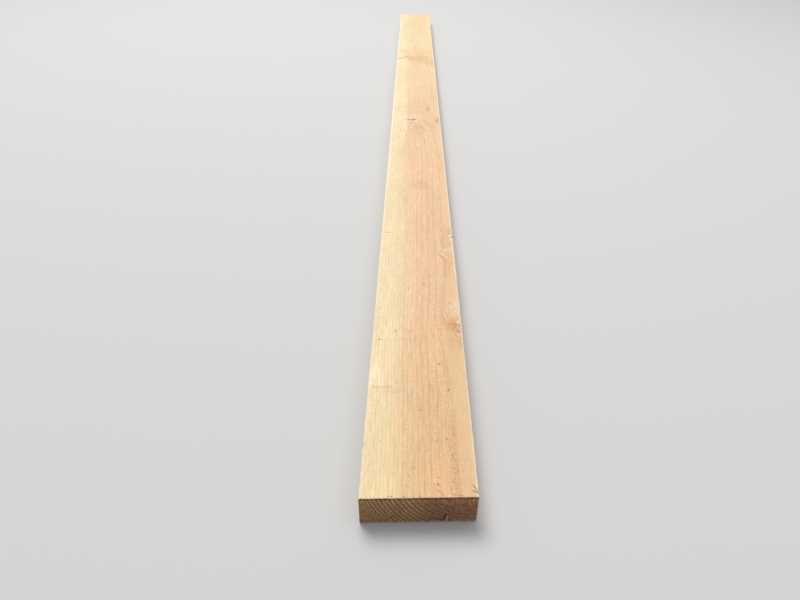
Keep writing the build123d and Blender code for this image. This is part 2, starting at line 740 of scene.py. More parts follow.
def make_branch_group():
    """The ring number of a place as the branch counts it. The branch stops growing at its full girth."""
    vectors, numbers = ("Place", "Root", "Way"), ("Ring width", "Girth")
    group, bench, taken, given = start_group("branch_rings", vectors, numbers, gives=("Ring",))
    reach = bench.vector("LENGTH", beside(bench, taken))
    outgrown = bench.math("POWER", reach / taken["Girth"], 6.0)
    ring = reach / taken["Ring width"] * (outgrown + 1.0)
    bench.feed(given["Ring"], ring + pith_ring)
    return group


def make_swelling_group():
    """How far the trunk's rings are pushed outwards at a place beside an axis."""
    vectors = ("Place", "Root", "Way", "Reach")
    group, bench, taken, given = start_group("branch_swelling", vectors, ("Push",), gives=("Pushed",))
    ratio = bench.vector("LENGTH", beside(bench, taken) / taken["Reach"])
    softened = bench.math("MULTIPLY_ADD", ratio, ratio, 1.0)
    bench.feed(given["Pushed"], taken["Push"] / softened)
    return group


branch_group = make_branch_group()
swelling_group = make_swelling_group()
print("branches:", len(branch_group.nodes), "and", len(swelling_group.nodes), "nodes")

# %% [markdown]
# The trunk's rings are cylinders round the pith, which ran just above the plank's right side and comes
# nearer to it towards the end that faces the eye. The distance from the pith, less the swellings, gives
# the ring number. The tree grew fast when it was young, so the rings are wide near the pith and narrow
# further out. A picture of grain could be laid on instead, but it would never turn the corner from a face
# to an end. Places are in millimetres, and y counts from the near end. Heartwood pays no heed to the
# swellings further along, so it is counted apart from them.

# %% Growth rings
pith_x = (71.5, 78.7)         # the pith's place at the near end, and from pith_settles on
pith_z = (86.6, 97.7)
pith_settles = 700.0
strip_radius = (41.7, 54.2)   # the ring that bounds the smooth right strip, at those two places
inner_swell = (-2.6, 4.0)     # how much wider the first rings are, at the near end and further along
ring_rate, ring_rate_gain, ring_rate_loss = 0.0591, 0.00131, 3.96e-6    # rings in a millimetre
old_age, old_rate = 100.0, 0.088    # this far outside the strip, the rings start to crowd together
swirl = 1.5                   # how softly a branch's rings run into the trunk's, in rings
full_girth = 1.6              # where a branch stops growing, next to its radius at the top face
top = thickness / mm
knots = {
    # name: (x and y where it meets the top face, lean to the near end, its radius there)
    "edge_knot": (67, 386, 0.3, 17.0),
    "small_knot": (61, 577, 0.3, 11.0),
    "middle_knot": (3, 1378, 0.4, 19.0),
    "spike_knot": (-24, 2096, 0.6, 9.0),
}
near_swellings = (
    # x, y, lean, how far it pushes, how far it reaches across and along
    (67, 326.5, 0.3, 7.3, 32, 50), (67, 308, 0.0, 3.9, 200, 85),
)
far_swellings = (
    (4, 1035, 0.0, -4.3, 200, 103), (4, 1378, 0.4, 16.3, 32, 56), (4, 1378, 0.0, 5.0, 120, 114),
    (-24, 2096, 0.6, 8.0, 32, 60),
)
heart_bulge = 7.0             # how much further the heartwood goes at this place between two knots
bulge_place = (720, 930, 1090, 1260)    # y where it starts, is full, starts to fade and ends


def ring_at(past):
    """The ring number so many millimetres outside the smooth strip's ring."""
    return past * (ring_rate + past * (ring_rate_gain - ring_rate_loss * past))


def branch_line(x, y, lean):
    """Where a branch leaves the pith, and its whole run from there to the top face."""
    run = Vector((x - pith_x[1], 0, top - pith_z[1]))
    run.y = -lean * run.length
    return Vector((pith_x[1], y - run.y, pith_z[1])), run


print("knots:", ", ".join(knots))

# %% [markdown]
# One node group works the rings out, and hands on more than the ring's number: how far a place is from
# the smooth strip, how far round the pith, and how deep inside a branch. All the masks that follow read
# these few values, so a change to the tree moves every line of the grain with it.

# %% Count the rings
def push_rings(bench, place, radius, swellings):
    """The radius that a place had before the swellings moved its ring outwards."""
    for meets_x, meets_y, lean, push, across, along in swellings:
        root, run = branch_line(meets_x, meets_y, lean)
        reach = (across, along, across)
        pushed = bench.use(swelling_group, place, root, run.normalized(), reach, push)["Pushed"]
        radius -= pushed
    return radius


def trunk_ring(bench, past):
    """The trunk's ring number, from the distance outside the smooth strip's ring."""
    rate = ring_rate_gain - past * ring_rate_loss
    rate = bench.math("MULTIPLY_ADD", past, rate, ring_rate)
    crowded = bench.math("MAXIMUM", past - old_age, 0.0)
    return past * rate + crowded * old_rate


def make_growth_group():
    """The ring number at a place, how far it is round the pith, and how deep it is inside a branch."""
    gives = ("Ring", "Past", "Heart ring", "Around", "Core")
    group, bench, taken, given = start_group("growth_rings", ("Place",), gives=gives)
    place = taken["Place"]
    bent = place + bench.jitter(bench.enlarge(place, 1 / 16)) * (6.0, 12.0, 6.0)
    x, y, z = bench.split(place)
    flat_x = x - bench.rise(y, 0.0, pith_settles, *pith_x)
    flat_z = z - bench.rise(y, 0.0, pith_settles, *pith_z)
    wander = bench.noise(place * (1 / 90, 1 / 330, 1 / 90), detail=1.0)
    drifting = (wander - 0.5) * bench.rise(y, 1100.0, 1800.0, 1.2, 7.0)
    radius = bench.vector("LENGTH", bench.join(flat_x, 0.0, flat_z)) + drifting
    radius = push_rings(bench, place, radius, near_swellings)
    first = bench.rise(y, 0.0, pith_settles, *strip_radius)
    starts, full, fades, ends = bulge_place
    bulge = bench.rise(y, starts, full) * bench.rise(y, ends, fades, 0.0, heart_bulge)
    heart = trunk_ring(bench, radius - first - bulge)
    past = push_rings(bench, place, radius, far_swellings) - first
    swell = bench.rise(past, 0.0, 12.0) * bench.rise(past, 42.0, 14.0)
    past += swell * bench.rise(y, 40.0, 460.0, *inner_swell)
    trunk = trunk_ring(bench, past)
    ring, core = trunk, 0.0
    for meets_x, meets_y, lean, thick in knots.values():
        root, run = branch_line(meets_x, meets_y, lean)
        ring_width = thick / (ring_at(run.length - strip_radius[1]) - pith_ring)
        own = bench.use(branch_group, bent, root, run.normalized(), ring_width, full_girth * thick)
        own_ring = own["Ring"]
        ring = bench.math("SMOOTH_MIN", ring, own_ring, swirl)
        heart = bench.math("MINIMUM", heart, own_ring + 2.5)
        core = bench.math("MAXIMUM", core, bench.rise(trunk - own_ring, 0.3, 1.6))
    around = bench.math("ARCTAN2", flat_z, flat_x) * 60.0
    for name, value in zip(gives, (ring, past, heart, around, core)):
        bench.feed(given[name], value)
    return group


growth_group = make_growth_group()
print("growth rings:", len(growth_group.nodes), "nodes")

# %% [markdown]
# Marks on the surface come in two kinds. A patch is a soft stain with no edge. A dash is a short line or
# a dot: a pinhole, a split, a scratch or a saw's bruise. Both measure distance in space, so a mark on the
# top doesn't show through on the underside. They could be painted on an image, but then the finish would
# have pixels of its own. A handful of numbers for each mark stays sharp from any distance.

# %% Patches and dashes
mark_core = 0.3               # the share of a mark's reach that has its full strength
squeeze = 0.7                 # a dot's width, next to its length along the grain


def fall(bench, reach, edge):
    """1 in a mark's core, 0 at its edge, and below 0 outside."""
    slope = 1 / (1 - mark_core)
    return bench.math("MINIMUM", bench.math("MULTIPLY_ADD", reach, -slope / edge, slope), 1.0)


def make_patch_group():
    """A soft, rounded patch, fading in three directions."""
    group, bench, taken, given = start_group("patch", ("Place", "Middle", "Size"), gives=("Mask",))
    reach = bench.vector("LENGTH", (taken["Place"] - taken["Middle"]) / taken["Size"])
    bench.feed(given["Mask"], fall(bench, reach, 1.0))
    return group


def make_dash_group():
    """A line of some width between two places."""
    group, bench, taken, given = start_group("dash", ("Place", "Start", "Run"), ("Width",), ("Mask",))
    away = taken["Place"] - taken["Start"]
    run = taken["Run"]
    share = bench.vector("DOT_PRODUCT", away, run) / bench.vector("DOT_PRODUCT", run, run)
    share = bench.math("MINIMUM", bench.math("MAXIMUM", share, 0.0), 1.0)
    reach = bench.vector("LENGTH", away - bench.enlarge(run, share))
    bench.feed(given["Mask"], 1.0 - reach / taken["Width"])
    return group


patch_group = make_patch_group()
dash_group = make_dash_group()
print("patch and dash:", len(patch_group.nodes), "and", len(dash_group.nodes), "nodes")


def patch(bench, place, x, y, across, along, strength):
    """A soft stain on the top face."""
    middle, size = (x, y, top), (across, along, 12)
    return bench.use(patch_group, place, middle, size)["Mask"] * strength


def dash(bench, place, x, y, end_x, end_y, wide, strength, start_z=top, rise_z=0.0):
    """A short line from one place to another."""
    run = (end_x - x, end_y - y, rise_z)
    return bench.use(dash_group, place, (x, y, start_z), run, wide)["Mask"] * strength


def dot(bench, squeezed, x, y, wide, strength):
    """A dot. It is drawn out along the grain, so it is measured where y is squeezed."""
    reach = bench.vector("DISTANCE", squeezed, (x, y * squeeze, top))
    return fall(bench, reach, wide) * strength


# %% [markdown]
# Each mark was placed from the photograph, in millimetres on the top face: red-brown wood round
# the knots, grey and pale patches, places where the saw tore the fibres, pale chips, pinholes and lines.
# Marks of one kind are gathered by taking the strongest. A shader has room for only some 250 numbers that
# wait for their turn, so the list is halved again and again, and what lies below 0 is cut off once for
# the whole list and not once for each mark.

# %% Where the marks are
warm_patches = (
    # x, y, how far it reaches across and along, strength
    (61, 342, 22, 27, 0.85), (70, 300, 10, 26, 0.5), (66, 362, 12, 10, 0.3), (50, 350, 13, 18, 0.45),
    (66, 566, 8, 16, 0.35), (67, 542, 6, 16, 0.6), (69, 664, 8, 26, 0.6), (54, 630, 12, 30, 0.28),
    (55, 516, 10, 26, 0.25), (6, 1296, 17, 26, 0.45), (10, 1262, 26, 36, 0.25), (50, 1300, 18, 50, 0.15),
    (65, 1350, 11, 30, 0.75), (-14, 2092, 26, 56, 0.6), (28, 2090, 62, 90, 0.5), (66, 1600, 14, 70, 0.15),
    (60, 650, 11, 60, 0.28), (62, 606, 10, 34, 0.32), (57, 545, 8, 12, 0.5), (60, 512, 10, 36, 0.28),
    (57, 305, 15, 42, 0.34), (34, 1440, 18, 70, 0.2), (-46, 2160, 44, 110, 0.28),
    (20, 2190, 60, 90, 0.26), (64, 2030, 18, 80, 0.6), (0, 2050, 40, 60, 0.15), (40, 1480, 14, 60, 0.2),
    (36, 1385, 17, 55, 0.2), (37, 590, 10, 66, 0.22), (-71, 1385, 7, 120, 0.14),
)
grey_patches = (
    (8, 897, 22, 40, 0.38), (14, 884, 36, 18, 0.3), (38, 1462, 8, 22, 1), (37, 1489, 4, 10, 0.9),
    (42, 1438, 6, 12, 0.4), (-1, 2284, 4, 22, 0.9), (44, 2012, 7, 28, 0.6), (31, 1540, 9, 70, 0.25),
    (10, 1700, 30, 16, 0.15), (59, 2180, 5, 24, 0.5), (67, 2227, 5, 16, 0.5), (-36, 183, 7, 6, 0.35),
    (-44, 186, 7, 7, 0.2), (-62, 1462, 20, 26, 0.12), (-50, 2225, 24, 30, 0.15), (66, 612, 4, 9, 0.5),
    (-60, 150, 7, 14, 0.12),
)
pale_patches = (
    (65, 395, 13, 34, 0.55), (68, 354, 6, 8, 0.6), (53, 568, 7, 8, 0.4), (66, 596, 9, 16, 0.5),
    (-5, 1380, 34, 40, 0.9), (65, 1408, 9, 24, 0.7), (-55, 2150, 22, 60, 0.35), (45, 900, 14, 30, 0.2),
    (47, 155, 8, 44, 0.3), (-64, 226, 12, 40, 0.7), (-72, 208, 7, 30, 0.7), (-58, 210, 7, 26, 0.5),
    (-66, 1500, 12, 120, 0.1), (-68, 1010, 9, 120, 0.35), (44, 600, 12, 120, 0.28), (44, 500, 9, 60, 0.2),
)
torn_patches = (
    (45, 40, 13, 90, 1), (43, 130, 13, 80, 0.7), (26, 105, 10, 80, 0.7), (22, 220, 13, 120, 0.9),
    (2, 110, 24, 120, 0.6), (60, 515, 12, 50, 1), (30, 330, 40, 120, 0.5), (54, 630, 14, 44, 0.8),
    (10, 890, 24, 50, 0.6), (30, 470, 40, 120, 0.5), (64, 320, 16, 44, 1), (20, 1290, 26, 60, 0.5),
    (-57, 150, 16, 26, 0.6), (-44, 182, 16, 12, 0.8), (62, 392, 14, 50, 0.9), (56, 570, 18, 44, 1),
    (52, 372, 12, 44, 0.8), (66, 604, 10, 30, 0.9),
)
pale_chips = (
    # x, y, width, strength
    (70, 353, 4.2, 0.35), (68, 341, 2.4, 0.35), (60.5, 316, 2.2, 0.25), (61.5, 309, 2.2, 0.2),
    (59, 414, 2.4, 0.25), (58.6, 398, 2.6, 0.2), (69.4, 646, 3.6, 0.85), (70.4, 635, 3.4, 0.8),
    (57, 590, 3.4, 0.5), (41, 342, 1.8, 0.25), (70.6, 15.6, 1.5, 0.5), (67.4, 15.2, 1.1, 0.35),
)
dots = (
    # x, y, width, strength
    (24.5, 20.5, 1.9, 0.9), (25, 30.6, 1.4, 0.7), (38.3, 95, 1.5, 0.8), (25.2, 91.6, 1.3, 0.6),
    (2.8, 148, 1.5, 0.9), (45.4, 188, 2.2, 0.85), (33.4, 245.8, 2, 0.9), (12.2, 465.8, 3, 0.8),
    (22.1, 494.5, 2.3, 0.8), (-16.8, 451, 2.4, 0.5), (-36.4, 453, 1.9, 0.45), (-37.2, 325.8, 2.3, 0.85),
    (-9.6, 325.8, 1.6, 0.6), (-63, 303.4, 2.6, 0.7), (-23.8, 306, 1.5, 0.5), (-47.8, 246.8, 1.3, 0.45),
    (-64, 361.6, 1.7, 0.35), (-6, 413, 1.5, 0.4), (-51, 89.2, 1.4, 0.6), (-16, 1327, 4.6, 0.7),
    (-37, 1267, 4.4, 0.6), (-45.6, 1274, 3.8, 0.4), (68.2, 1375, 3.6, 0.7), (-32.8, 1613, 5, 0.5),
    (68, 2225, 5, 0.45), (62.8, 2368, 5, 0.4), (-74, 1673, 4.4, 0.45), (55, 498, 1.9, 0.4),
    (10.5, 73.5, 1.3, 0.5), (34, 66.5, 1.3, 0.45), (-38, 1.6, 1.3, 0.9), (-34.2, 1.6, 1.3, 0.9),
    (-18.4, 1.8, 1.5, 0.9), (1, 2.2, 1.3, 0.7), (-51, 42.5, 1.3, 0.4), (-27, 50.5, 1.3, 0.35),
    (-32.5, 202.5, 2.2, 0.45), (-58, 164, 1.8, 0.4), (-61, 140, 1.6, 0.4), (44, 67.5, 1.6, 0.5),
    (-45.5, 193.7, 1.8, 0.6), (56, 144, 1.2, 0.5), (13, 76, 1.3, 0.4), (-47, 165, 1.4, 0.3),
)
lines = (
    # start x, y, end x, y, width, strength
    (75, 9.4, 68.4, 20.4, 0.9, 0.9), (74.8, 8.6, 66.6, 12.8, 0.9, 0.75), (30.4, 5.2, 22.4, 14, 0.8, 0.5),
    (49.5, 4.8, 56, 5, 0.8, 0.45), (-40, 193.2, -70, 193, 1, 0.45), (-2, 303, -66, 303.4, 0.9, 0.25),
    (-7, 327, -38, 326, 0.9, 0.25), (69, 60.5, 54, 60.5, 0.9, 0.2), (66, 99, 55, 99, 0.9, 0.17),
    (-22, 633, -57, 633.4, 1.2, 0.25), (-58, 658, -70, 658, 2, 0.6), (-12, 1360, -4, 1367, 7, 1.2),
    (-4, 1368, 7, 1377, 4.8, 0.6), (-23, 1366, -21, 1361, 5.4, 1), (-20, 1363, -13, 1361, 3.6, 0.5),
    (67, 1371, 67, 1384, 3.4, 0.7), (54, 348.6, 62, 345.7, 1.8, 0.3), (62, 345.7, 73, 342.5, 2, 0.5),
    # the two lines from x 68.2 to 72.4 at y 634.5 to 641.4 are painted shade in the nick
    (66, 329, 70.5, 326.5, 2, 0.4), (46, 565, 55, 558.6, 2, 0.2), (68.2, 634.5, 69.2, 640, 1.8, 0.35),
    (69.2, 640, 72.4, 641.4, 1.8, 0.4), (24.6, 1171, 24.6, 1185, 2.4, 0.4),
    (-52, 1213, -52, 1228, 2.8, 0.4), (-75, 1484, 10, 1487, 4, 0.22), (-30, 2123, -46, 2110, 6, 0.8),
    (-46, 2110, -70, 2078, 5.4, 0.7), (-25, 1620, -25, 1680, 2, 0.25),
)
warm_lines = (
    (54, 348.6, 62, 345.7, 2.8, 1), (62, 345.7, 70, 345, 3, 1.2), (70, 345, 74, 337, 2.4, 1.1),
    (60, 339, 64, 333, 2.4, 0.7), (65, 330, 70, 326.5, 3.4, 1.3), (70, 326.5, 75, 324, 2.6, 0.9),
    (63.2, 323, 61.6, 311, 1.9, 1.1), (64.5, 316, 67, 311, 2.6, 0.9), (57, 306, 58, 300, 2.2, 0.7),
    (55.5, 356, 57.5, 350, 3.4, 0.9), (59.4, 361, 61, 358.6, 2.4, 0.9), (44.1, 364, 44.7, 357, 2, 0.9),
    (33.2, 350, 36.5, 331, 1.7, 0.5), (36.5, 331, 38.2, 318, 1.7, 0.5), (39.8, 322, 40.6, 316, 2, 0.7),
    (23.4, 334, 24.6, 311, 1.7, 0.5), (30.6, 372, 31.5, 356, 1.6, 0.45), (60.6, 412, 61.2, 405, 1.7, 0.7),
    (38, 632, 38.4, 612, 1.8, 0.6), (53.6, 613, 53.2, 596, 1.8, 0.6), (56.4, 556, 55.4, 533, 2.2, 0.9),
    (40.7, 392, 43.4, 369, 2, 0.6), (43.4, 369, 48, 353, 2.2, 0.8), (50, 378, 53, 362, 1.8, 0.6),
    (57, 330, 58, 312, 1.8, 0.6), (56.4, 412, 56.4, 405, 1.5, 0.9), (60.7, 389, 60.7, 385, 2, 0.6),
    (43.6, 580, 45.6, 566, 2.3, 0.9), (45.6, 566, 55, 558, 2.6, 0.95), (57.6, 574, 58.2, 568, 1.9, 0.9),
    (62, 534, 64, 524, 2.3, 0.8), (61, 522, 62, 516, 2.1, 0.8), (55, 526, 56, 515, 2.2, 0.8),
    (53.5, 506, 55, 496, 2.4, 0.9), (49, 548, 50, 536, 1.5, 0.4), (52, 646, 53, 628, 2, 0.5),
    (49, 624, 50, 610, 1.8, 0.4), (57, 606, 58, 598, 1.6, 0.5), (66, 620, 66, 606, 2.2, 0.5),
    (24, 1346, 45, 1311, 4.6, 0.9), (10, 1312, 26, 1272, 4.6, 0.85), (46, 1345, 55, 1275, 3.6, 0.5),
    (-4, 1306, 8, 1268, 4, 0.6), (36, 1348, 58, 1300, 2.8, 0.5), (58, 1412, 55, 1366, 2.6, 0.45),
    (55, 1366, 60, 1330, 2.6, 0.4), (66, 1356, 66, 1346, 3.4, 1), (41, 2266, 69, 2181, 4, 0.3),
    (6, 2180, 16, 2120, 3.6, 0.3), (18, 2150, 26, 2060, 3.6, 0.3), (60, 1440, 56, 1560, 4, 0.4),
    (56, 1560, 58, 1700, 4, 0.35),
)
print("marks:", len(dots), "dots,", len(lines + warm_lines), "lines and the rest in patches")

# %% [markdown]
# One mark has a form of its own: the print of a stick that lay across the plank in the stack. It is a
# band with a sharp, scalloped far side and a soft near side, so it is built from ramps along x and y.

# %% Gather the marks
def strongest(bench, place, draw, marks):
    """The strongest of many marks, found by halving the list, so that few of them wait for their turn."""
    if len(marks) == 1:
        return draw(bench, place, *marks[0])
    half = len(marks) // 2
    halves = [strongest(bench, place, draw, part) for part in (marks[:half], marks[half:])]
    return bench.math("MAXIMUM", *halves)


def gather(bench, place, draw, marks):
    """One mask for a list of marks."""
    return bench.math("MAXIMUM", strongest(bench, place, draw, marks), 0.0)


def stain_mask(bench, place):
    """The faint print of a crossed stick: ragged and sharp on its far side, soft on its near side."""
    x, y, z = bench.split(place)
    across = bench.rise(x, -76.0, -18.0, 0.25, 0.72) * bench.rise(x, 5.5, 1.0)
    scallop = abs(bench.math("SINE", x * 0.62)) * 1.6
    along = bench.rise(y, 164.0, 190.0) * bench.rise(y + scallop, 195.2, 193.2)
    patchy = bench.noise(place * (0.3, 0.11, 0.1), detail=3.0, roughness=0.7)
    uneven = bench.rise(patchy, 0.32, 0.62, 0.35, 1.0) * bench.rise(z, top - 6.0, top - 3.0)
    return across * along * uneven


def make_marks_group():
    """A mask for each kind of mark. Dots and lines are frayed, and patches are not."""
    gives = ("Warm", "Grey", "Pale", "Torn", "Chip", "Stain", "Dark")
    group, bench, taken, given = start_group("marks", ("Place",), gives=gives)
    place = taken["Place"]
    jitter = bench.jitter(bench.enlarge(place, 0.45))
    frayed = bench.vector("MULTIPLY_ADD", jitter, (1.8, 3.6, 0.0), place)
    patches = (warm_patches, grey_patches, pale_patches, torn_patches)
    strong = {name: gather(bench, place, patch, marks) for name, marks in zip(gives, patches)}
    strokes = gather(bench, frayed, dash, warm_lines)
    strong["Warm"] = bench.math("MAXIMUM", strong["Warm"], strokes)
    squeezed = frayed * (1.0, squeeze, 1.0)
    strong["Chip"] = gather(bench, squeezed, dot, pale_chips)
    strong["Stain"] = stain_mask(bench, place)
    dark_dots = gather(bench, squeezed, dot, dots)
    dark_lines = gather(bench, frayed, dash, lines)
    strong["Dark"] = bench.math("MAXIMUM", dark_dots * 0.82, dark_lines)
    for name, mask in strong.items():
        bench.feed(given[name], mask)
    return group


marks_group = make_marks_group()
print("marks:", len(marks_group.nodes), "nodes")

# %% [markdown]
# Each ring is pale earlywood that ends in a thin dark line of latewood. The line starts softly on the
# pith's side and stops at once on the bark's side. Its width is the same in wide and in narrow rings, so
# it is measured in millimetres from the ring's outer edge. Heartwood ends at one ring, with a soft step.

# %% Heartwood and latewood
heart_ring = 7.2
strong_rings = ((1, 900), (2, 900), (7, 180))    # the ring, and how far from the near end it stands out


def heartwood(bench, y, heart_ring_count):
    """How far a place is heartwood. The step from sapwood is soft near the eye and hard further on."""
    further = bench.rise(y, 300.0, 470.0, 0.5, 1.0) + bench.rise(y, 850.0, 1150.0, 0.0, 0.8)
    nearer = bench.rise(y, 1240.0, 1310.0, 0.0, 0.8) * bench.rise(y, 1700.0, 1580.0)
    loose = heart_ring_count - further + nearer
    soft = bench.rise(loose, 11.5, heart_ring) * 0.35
    soft += bench.rise(loose, heart_ring + 0.3, heart_ring - 0.25) * 0.25
    soft += bench.rise(loose, heart_ring, 1.5) * 0.4
    hard = bench.rise(loose, heart_ring + 0.5, heart_ring - 0.5)
    harder = bench.rise(y, 1100.0, 1240.0, 0.0, 0.75) * bench.rise(y, 1500.0, 1800.0, 1.0, 0.3)
    return soft * (1.0 - harder) + hard * harder


def latewood(bench, y, ring, past, strip):
    """The dark line at the end of each ring, and where in its ring a place is, from 0 to 1."""
    wavy = bench.noise(bench.join(ring * 1.3, y * 0.012, 0.0))
    rate = bench.rise(past, 0.0, 60.0, 0.085, 0.17) + bench.rise(past, 85.0, 110.0, 0.0, 0.09)
    counted = ring + (wavy - 0.5) * 0.2
    phase = bench.math("FRACT", counted)
    to_line = (1.0 - phase) / rate
    ramp = bench.math("MINIMUM", 0.42 / rate, 2.8)
    late = bench.rise(to_line, ramp, 0.3) * bench.rise(phase, 1.0, 0.96)
    late *= 1.0 - strip
    emphasis = 0.0
    for number, until in strong_rings:
        nearness = bench.rise(abs(counted - (number - 0.05)), 0.6, 0.3)
        nearness *= bench.rise(y, until + 60.0, until)
        emphasis = bench.math("MAXIMUM", emphasis, nearness)
    breaks = bench.noise(bench.join(ring * 2.0, y * 0.09, 0.0), detail=3.0)
    late *= bench.math("MULTIPLY_ADD", emphasis, 0.25, 0.75)
    rim = bench.rise(ring, 0.42, 0.0) * bench.rise(y, 100.0, 480.0, 0.55, 0.25)
    rim *= 1.0 - strip
    late = bench.math("MAXIMUM", late, rim)
    return late * bench.rise(breaks, 0.3, 0.62, 0.55, 1.0), phase


print("heartwood ends at ring", heart_ring)

# %% [markdown]
# A coarse saw doesn't cut soft wood cleanly. It tears out short flecks that slant across the grain, and
# it leaves a fine ripple across the plank. The fibres themselves show as thin streaks that follow the
# rings, so their noise is looked up by the ring number and not by x. All of these are masks from one
# group, so that the colour and the relief can both use them.

# %% Flecks and fibres
def torn_flecks(bench, place, ring, heart, strip, phase, torn_patch):
    """Slanting flecks where the saw tore the fibres: most in soft heartwood, none on the smooth strip."""
    y, z = bench.split(place)[1:]
    slant_out = bench.vector("DOT_PRODUCT", place, (0.87, -0.5, 0.0))
    slant_on = bench.vector("DOT_PRODUCT", place, (0.5, 0.87, 0.0))
    slanted = bench.join(slant_out * 0.58, slant_on * 0.2, z * 0.6)
    torn = bench.noise(slanted, roughness=0.55)
    where = bench.noise(bench.join(ring * 0.9, y * (1 / 70), 0.0))
    many = bench.rise(where, 0.35, 0.65, 0.15, 0.8) * bench.rise(y, 900, 60, 0.4, 1.0)
    many *= bench.rise(heart, 0.2, 0.7, 0.08, 0.9)
    many = bench.math("MAXIMUM", many * (1.0 - strip), torn_patch)
    many *= bench.rise(phase, 0.85, 0.2, 0.3, 1.0)
    return (torn - 0.5) * many


def make_figure_group():
    """What the rings, the fibres and the saw make of a place, as masks."""
    numbers = ("Ring", "Past", "Heart ring", "Around", "Torn")
    gives = ("Heart", "Strip", "Late", "Fibre", "Fleck", "Saw", "Cloud")
    group, bench, taken, given = start_group("figure", ("Place",), numbers, gives)
    place, ring = taken["Place"], taken["Ring"]
    y = bench.split(place)[1]
    cloud = bench.noise(place * (1 / 38, 1 / 260, 1 / 38), detail=3.0)
    heart = heartwood(bench, y, taken["Heart ring"] + cloud)
    strip = bench.rise(ring, -0.02, -0.14)
    late, phase = latewood(bench, y, ring, taken["Past"], strip)
    strand = bench.join(ring * 4.0, y * 0.03, taken["Around"] * 0.45)
    fibre = bench.noise(strand, detail=5.0, roughness=0.65)
    fleck = torn_flecks(bench, place, ring, heart, strip, phase, taken["Torn"])
    tooth = bench.noise(place * (0.012, 0.42, 0.012), detail=3.0, roughness=0.7)
    for name, mask in zip(gives, (heart, strip, late, fibre, fleck, tooth, cloud)):
        bench.feed(given[name], mask)
    return group


figure_group = make_figure_group()
print("figure:", len(figure_group.nodes), "nodes")

# %% [markdown]
# The long faces are the pale side of the plank. The masks tint their colour in turn, from the widest to
# the finest. First come the wood's own colours: sapwood or heartwood, the smooth strip and the knots.
# With them comes a painted sheen that pales the far part, most on the top. Each tint is a colour of its
# own rather than a darker grey, because wood turns redder as it darkens.

# %% The wood's own colours
sap_colour = (0.706, 0.575, 0.362, 1)
heart_colour = (0.648, 0.430, 0.268, 1)
strip_colour = (0.645, 0.460, 0.290, 1)
near_tint = (0.985, 0.945, 0.825, 1)
# the two far colours are painted sheen: the paler look of the far part seen at a grazing angle
far_sheen_colour = (0.640, 0.555, 0.355, 1)
far_heart_sheen_colour = (0.662, 0.553, 0.328, 1)
knot_colour = (0.62, 0.400, 0.245, 1)


def clean_wood(bench, place, growth, figure):
    """The colour of the long faces before any mark, line or streak."""
    y, z = bench.split(place)[1:]
    colour = bench.blend(figure["Heart"], sap_colour, heart_colour)
    strip = figure["Strip"] * bench.rise(y, 180, 300, 0.8, 0.3)
    colour = bench.blend(strip, colour, strip_colour)
    nearness = bench.rise(y, 560, 0) * bench.math("MULTIPLY_ADD", figure["Heart"], 0.5, 0.5)
    colour = bench.blend(nearness, colour, near_tint, "MULTIPLY")
    # painted sheen: the far part is paled, fully on the top and less on the sides
    far_sheen = bench.rise(y, 700, 2600, 0.0, 0.67) * bench.rise(z, top - 6.0, top - 0.5, 0.4, 1.0)
    far = bench.blend(figure["Heart"], far_sheen_colour, far_heart_sheen_colour)
    colour = bench.blend(far_sheen, colour, far)
    return bench.blend(growth["Core"] * 0.6, colour, knot_colour)


print("sapwood", sap_colour[:3], "and heartwood", heart_colour[:3])

# %% [markdown]
# Then come the patches, and over them the dark line of each ring. A stain soaks in along the fibres, so
# all but the pale patches are broken up by the fibres' own noise, which gives them streaky edges.

# %% Patches and ring lines
pale_sap_colour = (0.780, 0.670, 0.470, 1)
pale_heart_colour = (0.710, 0.540, 0.385, 1)
warm_colour = (0.490, 0.222, 0.092, 1)
grey_colour = (0.430, 0.270, 0.160, 1)
stain_colour = (0.590, 0.435, 0.330, 1)
sap_line_tint = (0.880, 0.830, 0.755, 1)
heart_line_tint = (0.875, 0.80, 0.74, 1)


def lay_on_patches(bench, colour, figure, marks):
    """Tints a colour with the pale, warm and grey patches and the stick's print."""
    streaky = bench.rise(figure["Fibre"], 0.38, 0.62, 0.45, 1.0)
    pale = bench.blend(figure["Heart"], pale_sap_colour, pale_heart_colour)
    colour = bench.blend(marks["Pale"] * 0.9, colour, pale)
    colour = bench.blend(marks["Warm"] * streaky * 0.9, colour, warm_colour)
    colour = bench.blend(marks["Grey"] * streaky, colour, grey_colour)
    return bench.blend(marks["Stain"] * streaky, colour, stain_colour)


def draw_ring_lines(bench, y, colour, figure):
    """Darkens a colour along the latewood. The lines fade towards the far end, where painted sheen pales
    the wood.
    """
    line_tint = bench.blend(figure["Heart"], sap_line_tint, heart_line_tint)
    fading = figure["Late"] * bench.rise(y, 1300, 2300, 1.0, 0.45)
    return bench.blend(fading, colour, line_tint, "MULTIPLY")


print("patches:", len(pale_patches), "pale,", len(warm_patches), "warm and", len(grey_patches), "grey")

# %% [markdown]
# Last come the fine things: streaks along the fibres, the saw's ripple, the torn flecks with their painted
# light and shade, a painted highlight where the frayed long corners catch the light, and the small dark
# marks on top of everything. Streaks and ripple only change how light the wood is, so they are multiplied
# together and brighten the colour once.

# %% The long faces
chip_colour = (0.88, 0.73, 0.56, 1)
# the colour of the painted highlight on the long corners
corner_highlight_colour = (0.76, 0.69, 0.55, 1)
dark_colour = (0.190, 0.088, 0.038, 1)


def brighten(bench, colour, amount):
    """Multiplies a colour by a lightness."""
    return colour * bench.join(amount, amount, amount)


